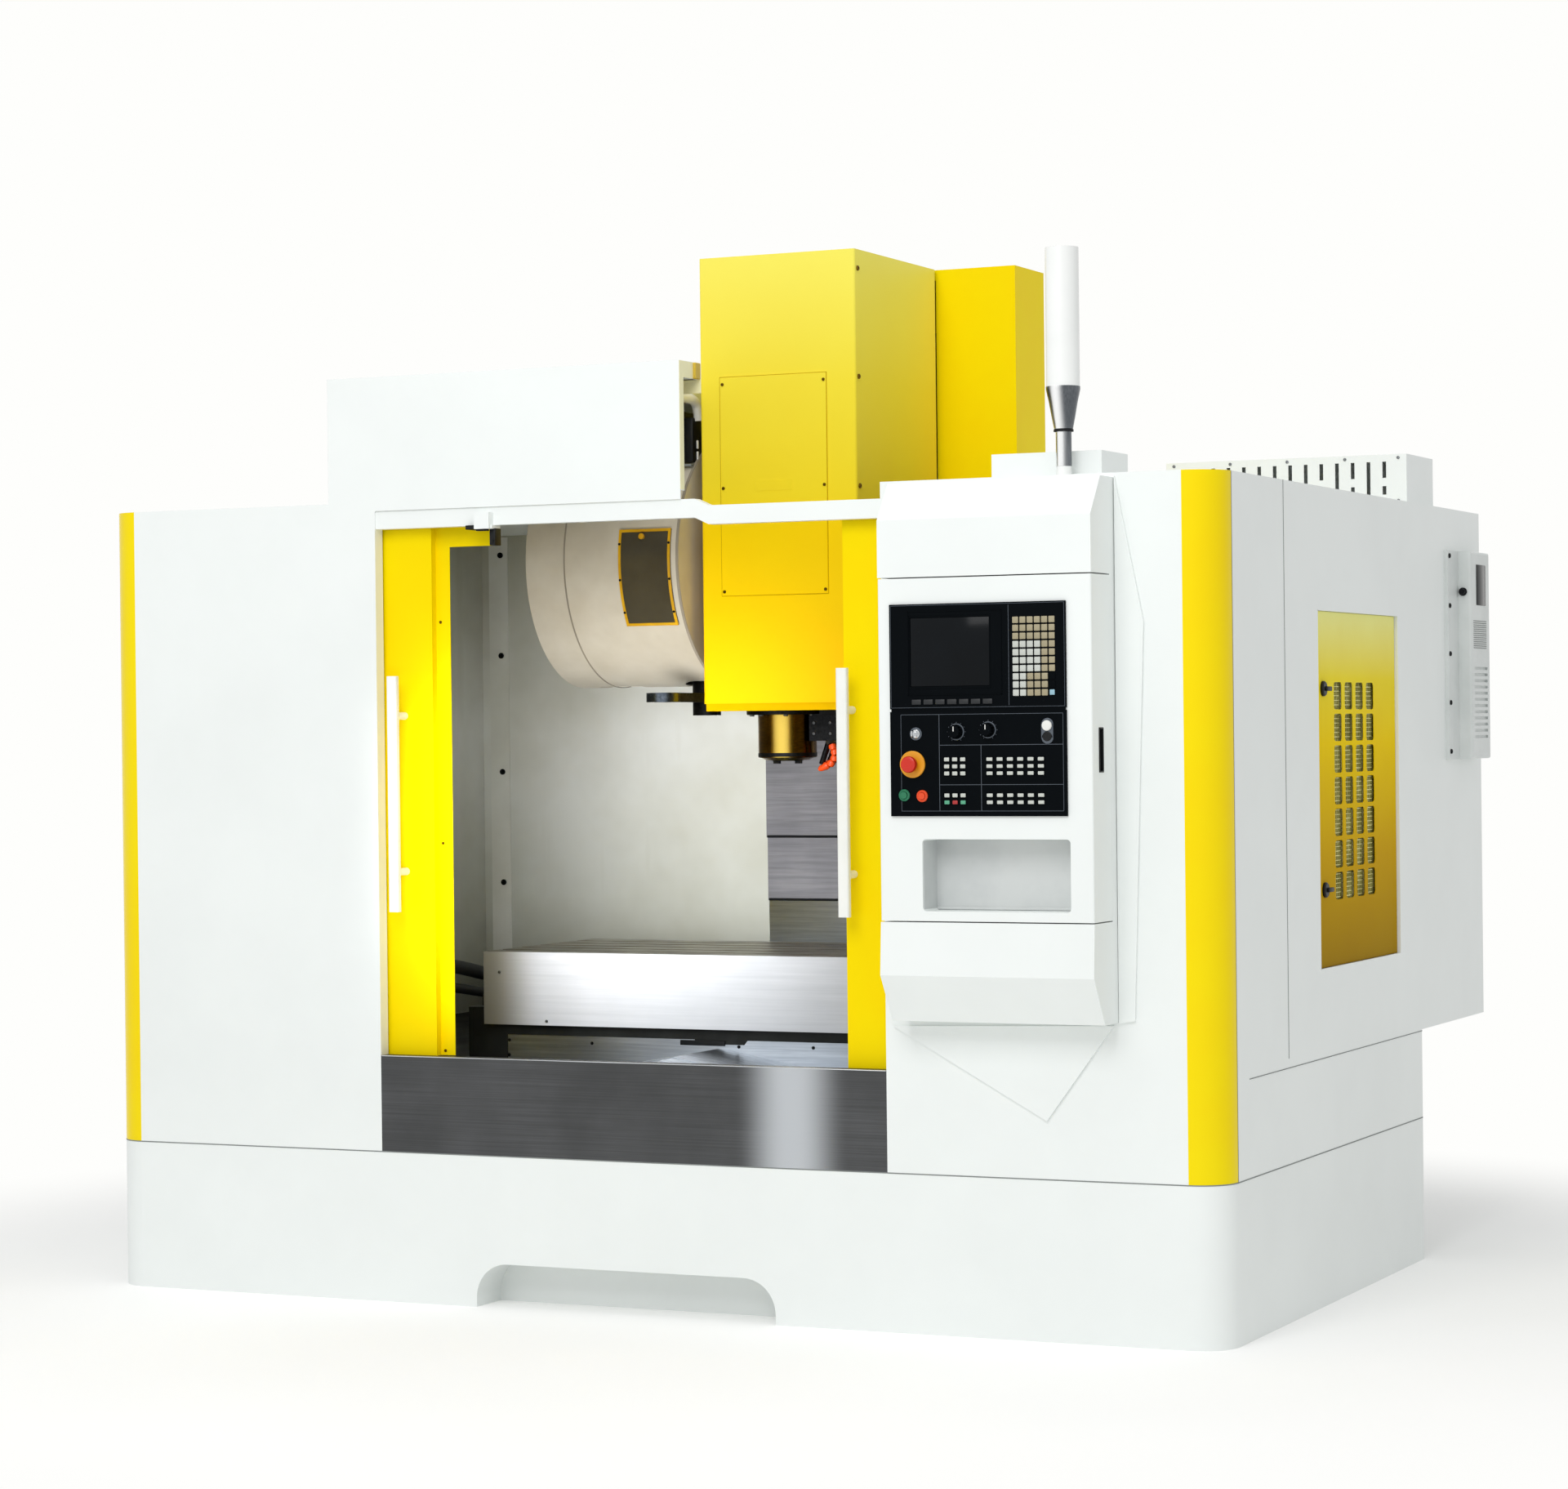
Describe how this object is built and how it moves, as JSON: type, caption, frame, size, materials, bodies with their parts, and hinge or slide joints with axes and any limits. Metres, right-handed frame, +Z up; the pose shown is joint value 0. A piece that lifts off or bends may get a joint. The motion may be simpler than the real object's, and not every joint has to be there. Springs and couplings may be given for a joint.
{
  "type": "vertical machining centre",
  "caption": "Enclosed vertical machining centre with sliding doors, slotted table, spindle head, drum tool changer and swing-out control console.",
  "frame": {"origin": "point of the floor straight below the spindle's axis", "axes": "+Z up, +X to the right of the operator who faces the doors, -Y towards the operator"},
  "size_m": [3.25, 2.605, 2.81],
  "materials": {
    "white_paint": "satin",
    "yellow_paint": "satin",
    "cream_paint": "satin",
    "grey_paint": "satin",
    "machine_green_grey": "satin",
    "dark_steel": "brushed",
    "stainless": "brushed",
    "ground_steel": "ground",
    "chrome_steel": "polished",
    "black_plastic": "matte",
    "white_plastic": "satin",
    "red_plastic": "gloss",
    "green_plastic": "gloss",
    "orange_plastic": "gloss",
    "smoked_glass": "clear",
    "clear_glass": "clear"
  },
  "bodies": {
    "frame": {"base_tray": "white_paint", "levelling_feet": "dark_steel", "bed_casting": "machine_green_grey", "column_casting": "machine_green_grey", "guide_rails": "ground_steel", "front_panel_left": "white_paint", "front_panel_right": "white_paint", "corner_trims": "yellow_paint", "front_sill": "dark_steel", "side_panel_left": "white_paint", "side_panel_right": "white_paint", "roof_panels": "white_paint", "inner_walls": "stainless", "crossbeam": "white_paint", "magazine_hood": "white_paint", "chip_pans": "stainless", "column_cover": "yellow_paint", "electrical_cabinet": "grey_paint", "cooler_unit": "white_paint", "vent_box": "white_paint", "signal_lamp": "white_plastic", "console_housing": "white_paint", "tool_changer_body": "machine_green_grey", "drum_cover": "cream_paint", "drum_window": "smoked_glass", "axis_drives": "ground_steel", "fixed_way_covers": "stainless"},
    "left_door": {"left_door": "yellow_paint", "left_handle": "white_paint", "left_window": "clear_glass"},
    "right_door": {"right_door": "yellow_paint", "right_handle": "white_paint", "right_window": "clear_glass"},
    "saddle": {"saddle": "machine_green_grey", "y_cover_rear": "stainless"},
    "y_cover": {"y_cover_middle": "stainless"},
    "table": {"table": "ground_steel", "table_guard": "stainless"},
    "head": {"head_casting": "machine_green_grey", "head_cover": "yellow_paint", "spindle_housing": "ground_steel", "spindle_motor": "black_plastic", "coolant_nozzles": "dark_steel", "z_cover_upper": "stainless"},
    "z_cover": {"z_cover_middle": "stainless"},
    "spindle": {"spindle": "chrome_steel"},
    "tool_disc": {"tool_disc": "dark_steel"},
    "change_pot": {"change_pot": "dark_steel"},
    "arm_hub": {"arm_hub": "dark_steel"},
    "swap_arm": {"swap_arm": "chrome_steel"},
    "console_door": {"console_door": "white_paint", "display_unit": "black_plastic", "operator_panel": "black_plastic"},
    "emergency_stop": {"emergency_stop": "red_plastic"},
    "start_button": {"start_button": "green_plastic"},
    "stop_button": {"stop_button": "orange_plastic"},
    "feed_knob": {"feed_knob": "black_plastic"},
    "spindle_knob": {"spindle_knob": "black_plastic"},
    "key_switch": {"key_switch": "chrome_steel"},
    "vent_door": {"vent_door": "yellow_paint"}
  },
  "joints": [
    {"name": "left_door_slide", "type": "slide", "parent": "frame", "child": "left_door", "axis": [1, 0, 0], "range_m": [0, 0.596]},
    {"name": "right_door_slide", "type": "slide", "parent": "frame", "child": "right_door", "axis": [-1, 0, 0], "range_m": [0, 0.593]},
    {"name": "saddle_slide", "type": "slide", "parent": "frame", "child": "saddle", "axis": [0, 1, 0], "range_m": [-0.15, 0.32]},
    {"name": "y_cover_slide", "type": "slide", "parent": "frame", "child": "y_cover", "axis": [0, 1, 0], "range_m": [-0.075, 0.16]},
    {"name": "table_slide", "type": "slide", "parent": "saddle", "child": "table", "axis": [1, 0, 0], "range_m": [-0.5, 0.5]},
    {"name": "head_slide", "type": "slide", "parent": "frame", "child": "head", "axis": [0, 0, 1], "range_m": [-0.34, 0.3]},
    {"name": "z_cover_slide", "type": "slide", "parent": "frame", "child": "z_cover", "axis": [0, 0, 1], "range_m": [-0.17, 0.15]},
    {"name": "spindle_spin", "type": "hinge", "parent": "head", "child": "spindle", "pos_m": [0, 0, 1.5], "axis": [0, 0, 1], "continuous": true},
    {"name": "tool_disc_spin", "type": "hinge", "parent": "frame", "child": "tool_disc", "pos_m": [-0.485, 0.08, 1.978], "axis": [1, 0, 0], "continuous": true},
    {"name": "pot_tilt", "type": "hinge", "parent": "tool_disc", "child": "change_pot", "pos_m": [-0.56, 0.08, 1.703], "axis": [0, -1, 0], "range_deg": [0, 90]},
    {"name": "arm_lift", "type": "slide", "parent": "frame", "child": "arm_hub", "axis": [0, 0, 1], "range_m": [-0.115, 0]},
    {"name": "arm_swing", "type": "hinge", "parent": "arm_hub", "child": "swap_arm", "pos_m": [-0.27, 0.04, 1.595], "axis": [0, 0, 1], "range_deg": [-8, 12]},
    {"name": "console_door_hinge", "type": "hinge", "parent": "frame", "child": "console_door", "pos_m": [0.785, -1.14, 1.45], "axis": [0, 0, -1], "range_deg": [0, 110]},
    {"name": "emergency_stop_push", "type": "slide", "parent": "console_door", "child": "emergency_stop", "axis": [0, 1, 0], "range_m": [0, 0.006], "stiffness_N_per_m": 900},
    {"name": "start_push", "type": "slide", "parent": "console_door", "child": "start_button", "axis": [0, 1, 0], "range_m": [0, 0.004], "stiffness_N_per_m": 500},
    {"name": "stop_push", "type": "slide", "parent": "console_door", "child": "stop_button", "axis": [0, 1, 0], "range_m": [0, 0.004], "stiffness_N_per_m": 500},
    {"name": "feed_knob_turn", "type": "hinge", "parent": "console_door", "child": "feed_knob", "pos_m": [0.987, -1.151, 1.493], "axis": [0, 1, 0], "range_deg": [-135, 135]},
    {"name": "spindle_knob_turn", "type": "hinge", "parent": "console_door", "child": "spindle_knob", "pos_m": [1.07, -1.151, 1.497], "axis": [0, 1, 0], "range_deg": [-135, 135]},
    {"name": "key_turn", "type": "hinge", "parent": "console_door", "child": "key_switch", "pos_m": [0.881, -1.151, 1.489], "axis": [0, 1, 0], "range_deg": [0, 90]},
    {"name": "vent_door_hinge", "type": "hinge", "parent": "frame", "child": "vent_door", "pos_m": [1.588, 0.539, 1.332], "axis": [0, 0, 1], "range_deg": [0, 100]}
  ],
  "couplings": [
    {"joint": "y_cover_slide", "follows": "saddle_slide", "ratio": 0.5},
    {"joint": "z_cover_slide", "follows": "head_slide", "ratio": 0.5}
  ]
}
